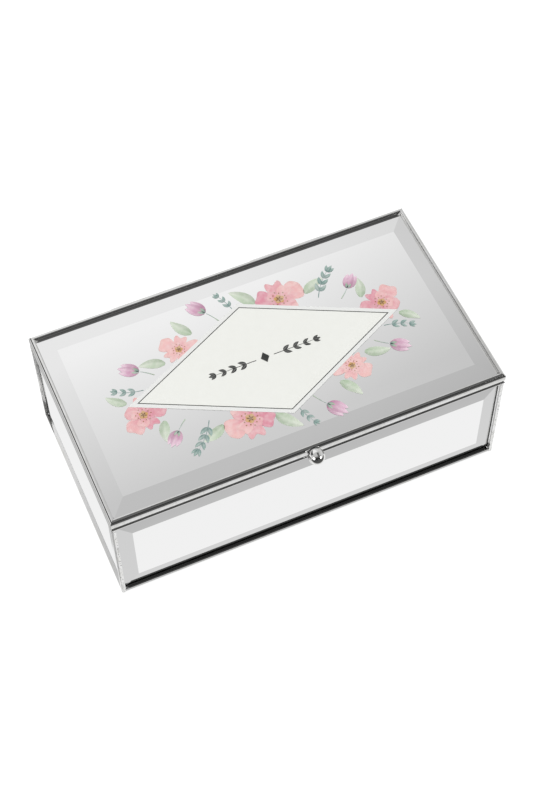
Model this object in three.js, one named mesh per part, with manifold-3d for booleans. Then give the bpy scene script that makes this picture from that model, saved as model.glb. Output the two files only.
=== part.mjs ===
// Mirrored glass trinket box: a soldered metal frame that holds five bevelled mirrors, with a
// hinged lid, a ball knob, a velvet-lined interior and a felt underside.
// Millimetres. +Z is up and the front faces -Y. The origin is on the surface that the felt rests
// on, under the centre of the frame. The lid is drawn closed.

import * as THREE from 'three';
import { mergeVertices } from 'three/addons/utils/BufferGeometryUtils.js';
import Module from 'manifold-3d';

const wasm = await Module();
wasm.setup();

// Driving dimensions of the box
const WIDTH = 200;
const DEPTH = 112.4;
const FELT_THICKNESS = 0.8;
const FRAME_HEIGHT = 67.8; // from the frame's bottom edge to the top of the lid
const LID_HEIGHT = 5.2;
const SEAM = 0.5; // open line between the lid and the base

// Sheet metal of the frame
const METAL = 0.7;
const BEND = 0.9; // outer radius of a folded edge
const POST_FLANGE = 2.0;
const POST_CORE = 1.6; // the solid inner corner that closes the view behind the flanges
const BOTTOM_FACE = 2.2;
const BOTTOM_LEDGE = 5.0;
const RIM_FACE = 1.2;
const HINGE_RIM_FACE = 4.4; // the back rim is taller, because the hinges are soldered to it
const RIM_LEDGE = 4.4;
const LID_BOTTOM_FLANGE = 3.4;
const CROWN_OUTER = 1.7; // radius of the lid rail's domed top towards the outside
const CROWN_INNER = 0.8; // and towards the glass

// Glass
const RECESS = 1.0; // from the frame's outer face to the flat of a wall mirror
const LID_RECESS = 1.2; // from the top of the lid's frame to the flat of its mirror
const LID_EDGE_INSET = 1.3; // from the lid's outer faces to the edges of its mirror
const GLASS = 2.4;
const BEVEL_DROP = 0.8;
const WALL_BEVEL_SIDE = 8.7;
const WALL_BEVEL_TOP = 10.3;
const WALL_BEVEL_BOTTOM = 10.5;
const LID_BEVEL_SIDE = 9.2;
const LID_BEVEL_FRONT = 10.7;

// Lining and boards
const BASE_BOARD = 2.0;
const LINER = 1.6;
const BASE_PAD = 2.0;
const LID_BOARD = 0.8;
const LID_LINER = 0.95;
const LINER_CLEARANCE = 0.2;

// Printed label on the lid mirror
const LABEL_HALF_LENGTH = 70;
const LABEL_HALF_WIDTH = 34.6;
const LABEL_FILM = 0.12;

// Knob
const KNOB_RADIUS = 4;
const KNOB_STANDOFF = 3.4; // from the lid's front face to the ball's centre
const KNOB_BELOW_TOP = 2.5;
const STUD_RADIUS = 0.8;
const STUD_HEAD_RADIUS = 1.1;
const STUD_HEAD = 0.3;
const STUD_INSERT = 3;
const STUD_CLEARANCE = 0.1;

// Hinges
const HINGE_CENTRE = 37; // sideways from the middle of the box
const HINGE_LENGTH = 39;
const BARREL_RADIUS = 1.2;
const PIN_RADIUS = 0.6;
const BORE_RADIUS = 0.68;
const KNUCKLE_GAP = 0.3;
const AXIS_BEHIND = 1.4; // from the frame's back face to the hinge line
const LEAF = 0.6;
const LEAF_REACH = 3.9; // from the hinge line to the leaf's far edge
const LEAF_START = 1.35;
const TAB_START = 0.4;
const STOP_REACH = 2.1; // the lug that the open lid leaf comes to rest on
const STOP_TOP = -0.12;
const STOP_BOTTOM = -1.1;
const STOP_START = 0.5;

// Clearances
const GLUE_LINE = 0.05; // between pieces that are glued or soldered together
const MITRE_GAP = 0.1;
const OVERCUT = 1; // how far a cutter runs past the piece it cuts

// Facets
const BEND_FACETS = 8; // in each arc of a rail's profile
const BORE_FACETS = 20;
const BARREL_FACETS = 24;
const BALL_FACETS = 32;
const BALL_RINGS = 16;

// Heights that follow from the driving dimensions
const FRAME_BOTTOM = FELT_THICKNESS + GLUE_LINE;
const LID_TOP = FRAME_BOTTOM + FRAME_HEIGHT;
const LID_BOTTOM = LID_TOP - LID_HEIGHT;
const BASE_TOP = LID_BOTTOM - SEAM;
const PANEL_BOTTOM = FRAME_BOTTOM + METAL + GLUE_LINE;
const PANEL_TOP = BASE_TOP - METAL - GLUE_LINE;
const BOARD_TOP = PANEL_BOTTOM + BASE_BOARD;
const GLASS_INNER = RECESS + GLASS; // from the frame's outer face to the back of a mirror

const finish = (color, roughness, metalness) =>
  new THREE.MeshStandardMaterial({ color, roughness, metalness });
const MATERIALS = {
  metal: finish(0xc9cac8, 0.18, 1),
  mirror: finish(0xe4e6e8, 0.04, 1),
  label: finish(0xedede6, 0.55, 0),
  board: finish(0x8d8376, 0.8, 0),
  velvet: finish(0x17171a, 0.95, 0),
  felt: finish(0x26262a, 1, 0),
};

// ---- Solid helpers ----

function toSolid(geometry) {
  const bare = geometry.clone();
  bare.deleteAttribute('normal');
  bare.deleteAttribute('uv');
  const merged = mergeVertices(bare);
  return new wasm.Manifold(new wasm.Mesh({
    numProp: 3,
    vertProperties: Float32Array.from(merged.attributes.position.array),
    triVerts: Uint32Array.from(merged.index.array),
  }));
}

function toGeometry(solid) {
  const { vertProperties, triVerts, numProp } = solid.getMesh();
  const positions = new Float32Array((vertProperties.length / numProp) * 3);
  for (let vertex = 0; vertex < positions.length / 3; vertex += 1) {
    for (let axis = 0; axis < 3; axis += 1) {
      positions[vertex * 3 + axis] = vertProperties[vertex * numProp + axis];
    }
  }
  const geometry = new THREE.BufferGeometry();
  geometry.setAttribute('position', new THREE.BufferAttribute(positions, 3));
  geometry.setIndex(new THREE.BufferAttribute(Uint32Array.from(triVerts), 1));
  geometry.computeVertexNormals();
  return geometry;
}

const subtract = (body, ...cutters) =>
  toGeometry(cutters.reduce((solid, cutter) => solid.subtract(toSolid(cutter)), toSolid(body)));
const join = (...bodies) =>
  toGeometry(bodies.map(toSolid).reduce((solid, body) => solid.add(body)));
const intersect = (body, other) => toGeometry(toSolid(body).intersect(toSolid(other)));

function polygon(points) {
  return new THREE.Shape(points.map(([x, y]) => new THREE.Vector2(x, y)));
}

function prism(shape, depth) {
  return new THREE.ExtrudeGeometry(shape, { depth, bevelEnabled: false, curveSegments: BEND_FACETS });
}

// A block between two corners.
function block([x0, y0, z0], [x1, y1, z1]) {
  const box = new THREE.BoxGeometry(x1 - x0, y1 - y0, z1 - z0);
  return box.translate((x0 + x1) / 2, (y0 + y1) / 2, (z0 + z1) / 2);
}

function mesh(name, geometry, material) {
  const made = new THREE.Mesh(geometry, material);
  made.name = name;
  return made;
}

// ---- The four sides ----

// Pieces of a side are drawn as if it were the front: X runs along it, and Y runs inward from the
// frame's outer face. The side's group then turns them into place.
const SIDES = [
  { name: 'front', length: WIDTH, outer: DEPTH / 2, turn: 0 },
  { name: 'right', length: DEPTH, outer: WIDTH / 2, turn: Math.PI / 2 },
  { name: 'back', length: WIDTH, outer: DEPTH / 2, turn: Math.PI },
  { name: 'left', length: DEPTH, outer: WIDTH / 2, turn: -Math.PI / 2 },
];

function sideGroup(side) {
  const group = new THREE.Group();
  group.rotation.z = side.turn;
  return group;
}

function atSide(side, piece) {
  piece.position.y = -side.outer;
  return piece;
}

// A rail of the given profile, mitred at 45 degrees at both ends. The profile's x is the distance
// inward and its y is the height.
function mitredRail(profile, length) {
  const rail = prism(profile, length);
  rail.translate(0, 0, -length / 2);
  const place = rail.attributes.position;
  // The axes are swapped in a cycle, which keeps the faces pointing outward.
  for (let vertex = 0; vertex < place.count; vertex += 1) {
    const inward = place.getX(vertex);
    const end = length / 2 - inward - MITRE_GAP / 2;
    place.setXYZ(vertex, Math.sign(place.getZ(vertex)) * end, inward, place.getY(vertex));
  }
  rail.computeVertexNormals();
  return rail;
}

// ---- Base frame ----

function cornerPost(xSign, ySign) {
  const flange = POST_FLANGE;
  const shape = new THREE.Shape();
  shape.moveTo(flange, 0);
  shape.lineTo(flange, METAL);
  shape.lineTo(POST_CORE, METAL);
  shape.lineTo(POST_CORE, POST_CORE);
  shape.lineTo(METAL, POST_CORE);
  shape.lineTo(METAL, flange);
  shape.lineTo(0, flange);
  shape.lineTo(0, BEND);
  shape.absarc(BEND, BEND, BEND, Math.PI, Math.PI * 1.5, false);
  const foot = FRAME_BOTTOM;
  const head = ySign > 0 ? BASE_TOP - HINGE_RIM_FACE : BASE_TOP - RIM_FACE;
  const post = prism(shape, head - GLUE_LINE - foot);
  // The profile is drawn for the front left corner and turned for the others.
  const turn = ySign < 0 ? (xSign < 0 ? 0 : Math.PI / 2) : (xSign < 0 ? -Math.PI / 2 : Math.PI);
  post.rotateZ(turn);
  return post.translate(xSign * WIDTH / 2, ySign * DEPTH / 2, foot);
}

function bottomRail(length) {
  const shape = new THREE.Shape();
  shape.moveTo(BOTTOM_LEDGE, 0);
  shape.lineTo(BOTTOM_LEDGE, METAL);
  shape.lineTo(METAL, METAL);
  shape.lineTo(METAL, BOTTOM_FACE);
  shape.lineTo(0, BOTTOM_FACE);
  shape.lineTo(0, BEND);
  shape.absarc(BEND, BEND, BEND, Math.PI, Math.PI * 1.5, false);
  const rail = mitredRail(shape, length);
  // The upright flange stops at the posts, and the ledge runs on to the mitre behind them.
  const flangeEnd = length / 2 - POST_FLANGE - GLUE_LINE;
  const ledgeStart = POST_CORE + GLUE_LINE;
  const plan = polygon([
    [-flangeEnd, -OVERCUT],
    [flangeEnd, -OVERCUT],
    [flangeEnd, ledgeStart],
    [length / 2, ledgeStart],
    [length / 2, BOTTOM_LEDGE + OVERCUT],
    [-length / 2, BOTTOM_LEDGE + OVERCUT],
    [-length / 2, ledgeStart],
    [-flangeEnd, ledgeStart],
  ]);
  const keep = prism(plan, BOTTOM_FACE + 2 * OVERCUT).translate(0, 0, -OVERCUT);
  return intersect(rail, keep).translate(0, 0, FRAME_BOTTOM);
}

function topRail(length, face) {
  const shape = new THREE.Shape();
  shape.moveTo(0, -face);
  shape.lineTo(METAL, -face);
  shape.lineTo(METAL, -METAL);
  shape.lineTo(RIM_LEDGE, -METAL);
  shape.lineTo(RIM_LEDGE, 0);
  shape.lineTo(BEND, 0);
  shape.absarc(BEND, -BEND, BEND, Math.PI / 2, Math.PI, false);
  return mitredRail(shape, length).translate(0, 0, BASE_TOP);
}

// ---- Mirrors ----

// Cuts one edge of a mirror down to the bevel. Its x runs inward from the edge and its y into the
// glass.
function bevelCutter(width, length, inward) {
  const slope = BEVEL_DROP / width;
  const shape = polygon([
    [width, 0],
    [-OVERCUT, slope * (width + OVERCUT)],
    [-OVERCUT, -OVERCUT],
    [width, -OVERCUT],
  ]);
  const cutter = prism(shape, length).translate(0, 0, -length / 2);
  const intoGlass = new THREE.Vector3(0, 1, 0);
  const along = inward.clone().cross(intoGlass);
  return cutter.applyMatrix4(new THREE.Matrix4().makeBasis(inward, intoGlass, along));
}

// A standing mirror with its flat face at y = 0 and its glass behind it, bevelled on four edges.
function bevelledMirror(length, height, bevels) {
  const sheet = new THREE.BoxGeometry(length, GLASS, height).translate(0, GLASS / 2, 0);
  const run = Math.max(length, height) + 2 * OVERCUT;
  const cutters = [
    bevelCutter(bevels.side, run, new THREE.Vector3(1, 0, 0)).translate(-length / 2, 0, 0),
    bevelCutter(bevels.side, run, new THREE.Vector3(-1, 0, 0)).translate(length / 2, 0, 0),
    bevelCutter(bevels.bottom, run, new THREE.Vector3(0, 0, 1)).translate(0, 0, -height / 2),
    bevelCutter(bevels.top, run, new THREE.Vector3(0, 0, -1)).translate(0, 0, height / 2),
  ];
  return subtract(sheet, ...cutters);
}

// A wall mirror's ends are ground to a mitre, so that two mirrors meet behind a post.
function wallMirror(length) {
  const outerLength = length - 2 * RECESS;
  const height = PANEL_TOP - PANEL_BOTTOM;
  const bevels = { side: WALL_BEVEL_SIDE, top: WALL_BEVEL_TOP, bottom: WALL_BEVEL_BOTTOM };
  const pane = bevelledMirror(outerLength, height, bevels);
  const outerEnd = outerLength / 2 - MITRE_GAP;
  const plan = polygon([
    [-outerEnd - OVERCUT, -OVERCUT],
    [outerEnd + OVERCUT, -OVERCUT],
    [outerEnd - GLASS - OVERCUT, GLASS + OVERCUT],
    [-outerEnd + GLASS + OVERCUT, GLASS + OVERCUT],
  ]);
  const keep = prism(plan, height + 2 * OVERCUT).translate(0, 0, -height / 2 - OVERCUT);
  return intersect(pane, keep).translate(0, RECESS, (PANEL_BOTTOM + PANEL_TOP) / 2);
}

function lidMirror() {
  const bevels = { side: LID_BEVEL_SIDE, top: LID_BEVEL_FRONT, bottom: LID_BEVEL_FRONT };
  const pane = bevelledMirror(WIDTH - 2 * LID_EDGE_INSET, DEPTH - 2 * LID_EDGE_INSET, bevels);
  return pane.rotateX(-Math.PI / 2).translate(0, 0, LID_TOP - LID_RECESS);
}

// ---- Boards, lining and felt ----

// A sheet centred on the box, its edge the given distance inward from the frame's outer faces.
function centredSheet(inset, bottom, top) {
  const x = WIDTH / 2 - inset;
  const y = DEPTH / 2 - inset;
  return block([-x, -y, bottom], [x, y, top]);
}

// Front and back liners run the whole way across, and the side liners stand between them.
function wallLiner(side) {
  const outerFace = GLASS_INNER + GLUE_LINE;
  const innerFace = outerFace + LINER;
  const isLong = side.length === WIDTH;
  const end = side.length / 2 - (isLong ? outerFace : innerFace) - LINER_CLEARANCE;
  const bottom = BOARD_TOP + GLUE_LINE;
  return block([-end, outerFace, bottom], [end, innerFace, PANEL_TOP]);
}

const LINER_INNER = GLASS_INNER + GLUE_LINE + LINER;
const LID_BOARD_TOP = LID_BOTTOM + METAL + LID_BOARD;
const LID_BOARD_BOTTOM = LID_BOARD_TOP - LID_BOARD;
const LID_LINER_TOP = LID_BOARD_BOTTOM - GLUE_LINE;

function diamondLabel() {
  const shape = polygon([
    [LABEL_HALF_LENGTH, 0],
    [0, LABEL_HALF_WIDTH],
    [-LABEL_HALF_LENGTH, 0],
    [0, -LABEL_HALF_WIDTH],
  ]);
  return prism(shape, LABEL_FILM).translate(0, 0, LID_TOP - LID_RECESS + GLUE_LINE);
}

// ---- Lid frame ----

// A folded channel. Its domed top ends in a lip that stands on the bevelled glass.
function lidRail(length) {
  const shape = new THREE.Shape();
  const bottom = -LID_HEIGHT;
  const lipFace = CROWN_OUTER + CROWN_INNER;
  const glassAtLip = -LID_RECESS - BEVEL_DROP * (1 - (lipFace - LID_EDGE_INSET) / LID_BEVEL_SIDE);
  const lipEnd = glassAtLip + GLUE_LINE;
  shape.moveTo(lipFace, lipEnd);
  shape.lineTo(lipFace, -CROWN_INNER);
  shape.absarc(CROWN_OUTER, -CROWN_INNER, CROWN_INNER, 0, Math.PI / 2, false);
  shape.absarc(CROWN_OUTER, -CROWN_OUTER, CROWN_OUTER, Math.PI / 2, Math.PI, false);
  shape.lineTo(0, bottom + BEND);
  shape.absarc(BEND, bottom + BEND, BEND, Math.PI, Math.PI * 1.5, false);
  shape.lineTo(LID_BOTTOM_FLANGE, bottom);
  shape.lineTo(LID_BOTTOM_FLANGE, bottom + METAL);
  shape.lineTo(METAL, bottom + METAL);
  shape.lineTo(METAL, -CROWN_OUTER);
  shape.absarc(CROWN_OUTER, -CROWN_OUTER, CROWN_OUTER - METAL, Math.PI, Math.PI / 2, true);
  shape.lineTo(lipFace - METAL, -METAL);
  shape.lineTo(lipFace - METAL, lipEnd);
  return mitredRail(shape, length).translate(0, 0, LID_TOP);
}

// The front rail's wall is drilled for the knob's stud.
function drilledLidRail(length) {
  const drill = new THREE.CylinderGeometry(
    STUD_RADIUS + STUD_CLEARANCE, STUD_RADIUS + STUD_CLEARANCE, METAL + 2 * OVERCUT, BORE_FACETS,
  ).translate(0, METAL / 2, LID_TOP - KNOB_BELOW_TOP);
  return subtract(lidRail(length), drill);
}

// ---- Knob ----

const KNOB_PLACE = [0, -DEPTH / 2, LID_TOP - KNOB_BELOW_TOP];

// The knob and its stud are turned about a line that runs straight out of the rail. A profile is a
// list of radius and distance out from the rail's face.
function turnedOut(profile, segments) {
  const points = profile.map(([radius, out]) => new THREE.Vector2(radius, out));
  const turned = new THREE.LatheGeometry(points, segments);
  return turned.rotateX(Math.PI).translate(...KNOB_PLACE);
}

// A ball with a small flat where it meets the rail and a blind hole for the stud.
function knobBall() {
  const seat = GLUE_LINE;
  const seatAngle = Math.acos((KNOB_STANDOFF - seat) / KNOB_RADIUS);
  const bore = STUD_RADIUS + STUD_CLEARANCE;
  const boreEnd = STUD_INSERT + STUD_CLEARANCE;
  const profile = [[0, boreEnd], [bore, boreEnd], [bore, seat]];
  for (let ring = 0; ring <= BALL_RINGS; ring += 1) {
    const angle = seatAngle + (ring / BALL_RINGS) * (Math.PI - seatAngle);
    const radius = ring === BALL_RINGS ? 0 : KNOB_RADIUS * Math.sin(angle);
    profile.push([radius, KNOB_STANDOFF - KNOB_RADIUS * Math.cos(angle)]);
  }
  return turnedOut(profile, BALL_FACETS);
}

function knobStud() {
  const headOuter = -METAL - GLUE_LINE;
  return turnedOut([
    [0, headOuter - STUD_HEAD],
    [STUD_HEAD_RADIUS, headOuter - STUD_HEAD],
    [STUD_HEAD_RADIUS, headOuter],
    [STUD_RADIUS, headOuter],
    [STUD_RADIUS, STUD_INSERT],
    [0, STUD_INSERT],
  ], BORE_FACETS);
}

// ---- Hinges ----

const HINGE_LINE = { y: DEPTH / 2 + AXIS_BEHIND, z: LID_BOTTOM - SEAM / 2 };

function cylinderAlongX(radius, length, facets) {
  return new THREE.CylinderGeometry(radius, radius, length, facets).rotateZ(Math.PI / 2);
}

// A knuckle is a short tube round the hinge line, here the X axis.
function knuckle(start, end) {
  const ring = [
    [BORE_RADIUS, start],
    [BARREL_RADIUS, start],
    [BARREL_RADIUS, end],
    [BORE_RADIUS, end],
    [BORE_RADIUS, start],
  ].map(([radius, along]) => new THREE.Vector2(radius, along));
  return new THREE.LatheGeometry(ring, BARREL_FACETS).rotateZ(-Math.PI / 2);
}

const LEAF_OUTER = -AXIS_BEHIND + GLUE_LINE + LEAF;
const LEAF_INNER = LEAF_OUTER - LEAF;

// A leaf stands against the frame's back face, above the hinge line on the lid (up = 1) and below
// it on the base (up = -1). Its knuckles are each [start, end] along the hinge line.
function leafWithKnuckles(up, spans) {
  const upright = (start, end, near, far) => {
    const heights = [up * near, up * far].sort((a, b) => a - b);
    return block([start, LEAF_INNER, heights[0]], [end, LEAF_OUTER, heights[1]]);
  };
  const half = HINGE_LENGTH / 2;
  const plate = upright(-half, half, LEAF_START, LEAF_REACH);
  const tabs = spans.map(([start, end]) => upright(start, end, TAB_START, LEAF_START + OVERCUT));
  return join(plate, ...tabs, ...spans.map(([start, end]) => knuckle(start, end)));
}

// The leaves share three knuckles of equal length, and the middle one is the lid's.
const MIDDLE_HALF = HINGE_LENGTH / 6;
const OUTER_SPANS = [
  [-HINGE_LENGTH / 2, -MIDDLE_HALF - KNUCKLE_GAP / 2],
  [MIDDLE_HALF + KNUCKLE_GAP / 2, HINGE_LENGTH / 2],
];
const MIDDLE_SPAN = [[-MIDDLE_HALF + KNUCKLE_GAP / 2, MIDDLE_HALF - KNUCKLE_GAP / 2]];

// The base leaf's outer knuckles carry lugs that stop the lid when it leans back.
function baseLeaf() {
  const leaf = leafWithKnuckles(-1, OUTER_SPANS);
  const bore = cylinderAlongX(BORE_RADIUS, HINGE_LENGTH + 2 * OVERCUT, BARREL_FACETS);
  const lugs = OUTER_SPANS.map(([start, end]) =>
    subtract(block([start, STOP_START, STOP_BOTTOM], [end, STOP_REACH, STOP_TOP]), bore));
  return join(leaf, ...lugs);
}

function hingePin() {
  return cylinderAlongX(PIN_RADIUS, HINGE_LENGTH, BORE_FACETS);
}

function hingeGroup(x) {
  const group = new THREE.Group();
  group.position.set(x, HINGE_LINE.y, HINGE_LINE.z);
  return group;
}

// ---- Assembly ----

const box = new THREE.Group();
const base = new THREE.Group();
const lid = new THREE.Group();
box.add(base, lid);

for (const side of SIDES) {
  const baseSide = sideGroup(side);
  const face = side.name === 'back' ? HINGE_RIM_FACE : RIM_FACE;
  baseSide.add(
    atSide(side, mesh(`bottom_rail_${side.name}`, bottomRail(side.length), MATERIALS.metal)),
    atSide(side, mesh(`top_rail_${side.name}`, topRail(side.length, face), MATERIALS.metal)),
    atSide(side, mesh(`mirror_${side.name}`, wallMirror(side.length), MATERIALS.mirror)),
    atSide(side, mesh(`wall_liner_${side.name}`, wallLiner(side), MATERIALS.velvet)),
  );
  base.add(baseSide);

  const lidSide = sideGroup(side);
  const rail = side.name === 'front' ? drilledLidRail(side.length) : lidRail(side.length);
  lidSide.add(atSide(side, mesh(`lid_rail_${side.name}`, rail, MATERIALS.metal)));
  lid.add(lidSide);
}

const CORNERS = [
  ['front_left', -1, -1],
  ['front_right', 1, -1],
  ['back_right', 1, 1],
  ['back_left', -1, 1],
];
for (const [name, xSign, ySign] of CORNERS) {
  base.add(mesh(`corner_post_${name}`, cornerPost(xSign, ySign), MATERIALS.metal));
}

const boardInset = GLASS_INNER + LINER_CLEARANCE;
const padInset = LINER_INNER + LINER_CLEARANCE;
const padBottom = BOARD_TOP + GLUE_LINE;
base.add(
  mesh('base_board', centredSheet(boardInset, PANEL_BOTTOM, BOARD_TOP), MATERIALS.board),
  mesh('base_pad', centredSheet(padInset, padBottom, padBottom + BASE_PAD), MATERIALS.velvet),
  mesh('base_felt', centredSheet(POST_FLANGE, 0, FELT_THICKNESS), MATERIALS.felt),
);

const lidInset = LID_BOTTOM_FLANGE + MITRE_GAP;
lid.add(
  mesh('lid_mirror', lidMirror(), MATERIALS.mirror),
  mesh('diamond_label', diamondLabel(), MATERIALS.label),
  mesh('lid_board', centredSheet(lidInset, LID_BOARD_BOTTOM, LID_BOARD_TOP), MATERIALS.board),
  mesh('lid_liner', centredSheet(lidInset, LID_LINER_TOP - LID_LINER, LID_LINER_TOP), MATERIALS.velvet),
  mesh('knob_ball', knobBall(), MATERIALS.metal),
  mesh('knob_stud', knobStud(), MATERIALS.metal),
);

for (const [name, x] of [['left', -HINGE_CENTRE], ['right', HINGE_CENTRE]]) {
  const onBase = hingeGroup(x);
  onBase.add(
    mesh(`hinge_base_leaf_${name}`, baseLeaf(), MATERIALS.metal),
    mesh(`hinge_pin_${name}`, hingePin(), MATERIALS.metal),
  );
  base.add(onBase);
  const onLid = hingeGroup(x);
  onLid.add(mesh(`hinge_lid_leaf_${name}`, leafWithKnuckles(1, MIDDLE_SPAN), MATERIALS.metal));
  lid.add(onLid);
}

export default box;
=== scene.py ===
import math

import bmesh
import bpy
from mathutils import Matrix, Vector, noise


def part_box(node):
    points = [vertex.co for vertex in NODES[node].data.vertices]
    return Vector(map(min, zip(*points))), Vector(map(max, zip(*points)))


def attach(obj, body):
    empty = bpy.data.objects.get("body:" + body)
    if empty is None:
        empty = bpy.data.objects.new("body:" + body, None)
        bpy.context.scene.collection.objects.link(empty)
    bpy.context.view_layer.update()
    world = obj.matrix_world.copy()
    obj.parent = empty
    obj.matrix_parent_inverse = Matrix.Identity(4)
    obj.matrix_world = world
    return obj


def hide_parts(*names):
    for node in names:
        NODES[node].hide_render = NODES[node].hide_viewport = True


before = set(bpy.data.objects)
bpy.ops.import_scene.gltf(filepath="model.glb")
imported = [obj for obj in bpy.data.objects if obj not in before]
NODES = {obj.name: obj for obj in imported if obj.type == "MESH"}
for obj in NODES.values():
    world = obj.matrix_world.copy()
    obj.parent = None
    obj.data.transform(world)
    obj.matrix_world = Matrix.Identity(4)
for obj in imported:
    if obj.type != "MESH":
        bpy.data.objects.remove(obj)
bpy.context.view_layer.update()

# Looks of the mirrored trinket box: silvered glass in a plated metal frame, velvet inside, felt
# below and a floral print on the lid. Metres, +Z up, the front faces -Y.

MM = 0.001
SIDES = ("front", "right", "back", "left")
LONG_SIDES = ("front", "back")


def low(node):
    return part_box(node)[0]


def high(node):
    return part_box(node)[1]


# ---- Camera ----

CAMERA_AZIMUTH = math.radians(-22.586)
CAMERA_ELEVATION = math.radians(56.833)
CAMERA_ROLL = -0.0186
CAMERA_DISTANCE = 0.8697
CAMERA_RISE = 0.0161
CAMERA_FOOT = 0.00085  # the aim's height above the floor, before the rise
CAMERA_LENS = 76.67
CAMERA_SENSOR = 36
CAMERA_CLIP = (0.01, 100)


def make_camera():
    away = Vector((
        math.sin(CAMERA_AZIMUTH) * math.cos(CAMERA_ELEVATION),
        -math.cos(CAMERA_AZIMUTH) * math.cos(CAMERA_ELEVATION),
        math.sin(CAMERA_ELEVATION),
    ))
    level = Vector((math.cos(CAMERA_AZIMUTH), math.sin(CAMERA_AZIMUTH), 0))
    turn = Matrix.Rotation(CAMERA_ROLL, 3, away)
    right = turn @ level
    up = away.cross(right)
    place = away * CAMERA_DISTANCE + up * CAMERA_RISE + Vector((0, 0, CAMERA_FOOT))
    data = bpy.data.cameras.new("camera")
    data.lens = CAMERA_LENS
    data.sensor_width = CAMERA_SENSOR
    data.clip_start, data.clip_end = CAMERA_CLIP
    camera = bpy.data.objects.new("camera", data)
    bpy.context.scene.collection.objects.link(camera)
    axes = Matrix((right, up, away)).transposed()
    camera.matrix_world = Matrix.Translation(place) @ axes.to_4x4()
    bpy.context.scene.camera = camera


# ---- Node trees ----

MIX_FIRST = 6  # the colour sockets of the mix node, which has others of the same names
MIX_SECOND = 7
MIX_RESULT = 2


class Graph:
    """A short way to write a node tree."""

    def __init__(self, owner):
        owner.use_nodes = True
        self.tree = owner.node_tree
        self.tree.nodes.clear()

    def feed(self, socket, value):
        if isinstance(value, bpy.types.NodeSocket):
            self.tree.links.new(value, socket)
        else:
            socket.default_value = value

    def node(self, kind, inputs=None, **settings):
        made = self.tree.nodes.new(kind)
        for name, value in settings.items():
            setattr(made, name, value)
        for socket, value in (inputs or {}).items():
            self.feed(made.inputs[socket], value)
        return made

    def math(self, operation, *values):
        return self.node("ShaderNodeMath", dict(enumerate(values)), operation=operation).outputs[0]

    def ramp(self, value, bottom, top, start=0.0, end=1.0):
        """A smooth step: start below the bottom value, end above the top one."""
        inputs = {
            "Value": value, "From Min": bottom, "From Max": top, "To Min": start, "To Max": end,
        }
        made = self.node("ShaderNodeMapRange", inputs, interpolation_type="SMOOTHSTEP")
        return made.outputs["Result"]

    def tones(self, value, stops):
        """Straight steps between (value, tone) stops."""
        lowest, highest = stops[0][0], stops[-1][0]
        inputs = {"Value": value, "From Min": lowest, "From Max": highest}
        share = self.node("ShaderNodeMapRange", inputs).outputs["Result"]
        made = self.node("ShaderNodeValToRGB", {"Fac": share})
        points = made.color_ramp.elements
        anywhere = 0.5  # the loop below gives every point its place
        while len(points) < len(stops):
            points.new(anywhere)
        for point, (stop, tone) in zip(points, stops):
            point.position = (stop - lowest) / (highest - lowest)
            point.color = grey(tone)
        return made.outputs["Color"]

    def mix(self, factor, first, second):
        made = self.node("ShaderNodeMix", {"Factor": factor}, data_type="RGBA")
        self.feed(made.inputs[MIX_FIRST], first)
        self.feed(made.inputs[MIX_SECOND], second)
        return made.outputs[MIX_RESULT]

    def split(self, vector):
        return self.node("ShaderNodeSeparateXYZ", {"Vector": vector}).outputs

    def place(self):
        """Position on the object, in metres, the same at every pose."""
        return self.node("ShaderNodeTexCoord").outputs["Object"]

    def noise(self, scale, detail=2.0, stretch=None):
        vector = self.place()
        if stretch:
            vector = self.node("ShaderNodeMapping", {"Vector": vector, "Scale": stretch}).outputs[0]
        inputs = {"Vector": vector, "Scale": scale, "Detail": detail}
        return self.node("ShaderNodeTexNoise", inputs).outputs["Fac"]

    def bump(self, height, distance, strength=1.0, under=None):
        inputs = {"Height": height, "Distance": distance, "Strength": strength}
        if under:
            inputs["Normal"] = under
        return self.node("ShaderNodeBump", inputs).outputs["Normal"]

    def principled(self, inputs):
        shader = self.node("ShaderNodeBsdfPrincipled", inputs)
        self.node("ShaderNodeOutputMaterial", {"Surface": shader.outputs[0]})


def grey(value):
    return (value, value, value, 1)


# ---- Studio ----

FLOOR_REACH = 20
FLOOR_GLOW = 0.91
FLOOR_ALBEDO = 0.22
SHEET_DROP = 0.1 * MM

# Painted shade of the glowing sheet that mirrors see in place of the paper, by millimetres out
# from the box: ahead of its front and beside its left wall.
MIRRORED_SHADE_FRONT = ((-1, 1.0), (37, 1.0), (38, 0.63), (46, 0.60), (58, 0.45), (70, 0.10))
MIRRORED_SHADE_LEFT = ((-1, 1.0), (0, 0.92), (5, 0.92), (6.5, 0.60), (60, 0.45), (200, 0.85))

# Brightness of the tent, by degrees from straight up: towards the back, and towards the right.
TENT_BACKWARD = ((-90, 0.12), (-76, 0.12), (-70, 0.03), (-56, 0.03), (-44, 0.17), (-12, 0.15),
                 (14, 0.12), (20, 0.64), (29.5, 0.70), (34.5, 1.0), (90, 1.0))
TENT_RIGHTWARD = ((-90, 0.9), (-77, 0.9), (-73, 0.05), (-44, 0.05), (-36, 1.0), (16, 1.0),
                  (36, 0.70), (90, 0.70))
TENT_TWIST = 0.047
LEAST_RISE = 0.001  # keeps directions at and below the horizon on the tent's rim

# Brightness of cloths low at the sides, by degrees round from the front. Their upper edge fades
# between two upward parts of a direction.
CLOTH_ROUND = ((-122, 0), (-106, 0.72), (-82, 0.72), (-72, 0.04), (22, 0), (34, 0.72),
               (108, 0.72), (122, 0))
CLOTH_TOP = (0.5, 0.7)

# Brightness of the cloth overhead, by degrees towards the back, and where it hangs, by degrees
# towards the right.
CLOTH_OVERHEAD = ((-42, 0), (-26, 0.60), (16, 0.62), (24, 0.62), (30, 0))
CLOTH_HUNG = ((-90, 1), (3, 1), (7, 0), (27, 0), (32, 1), (60, 1), (90, 0))

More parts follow.
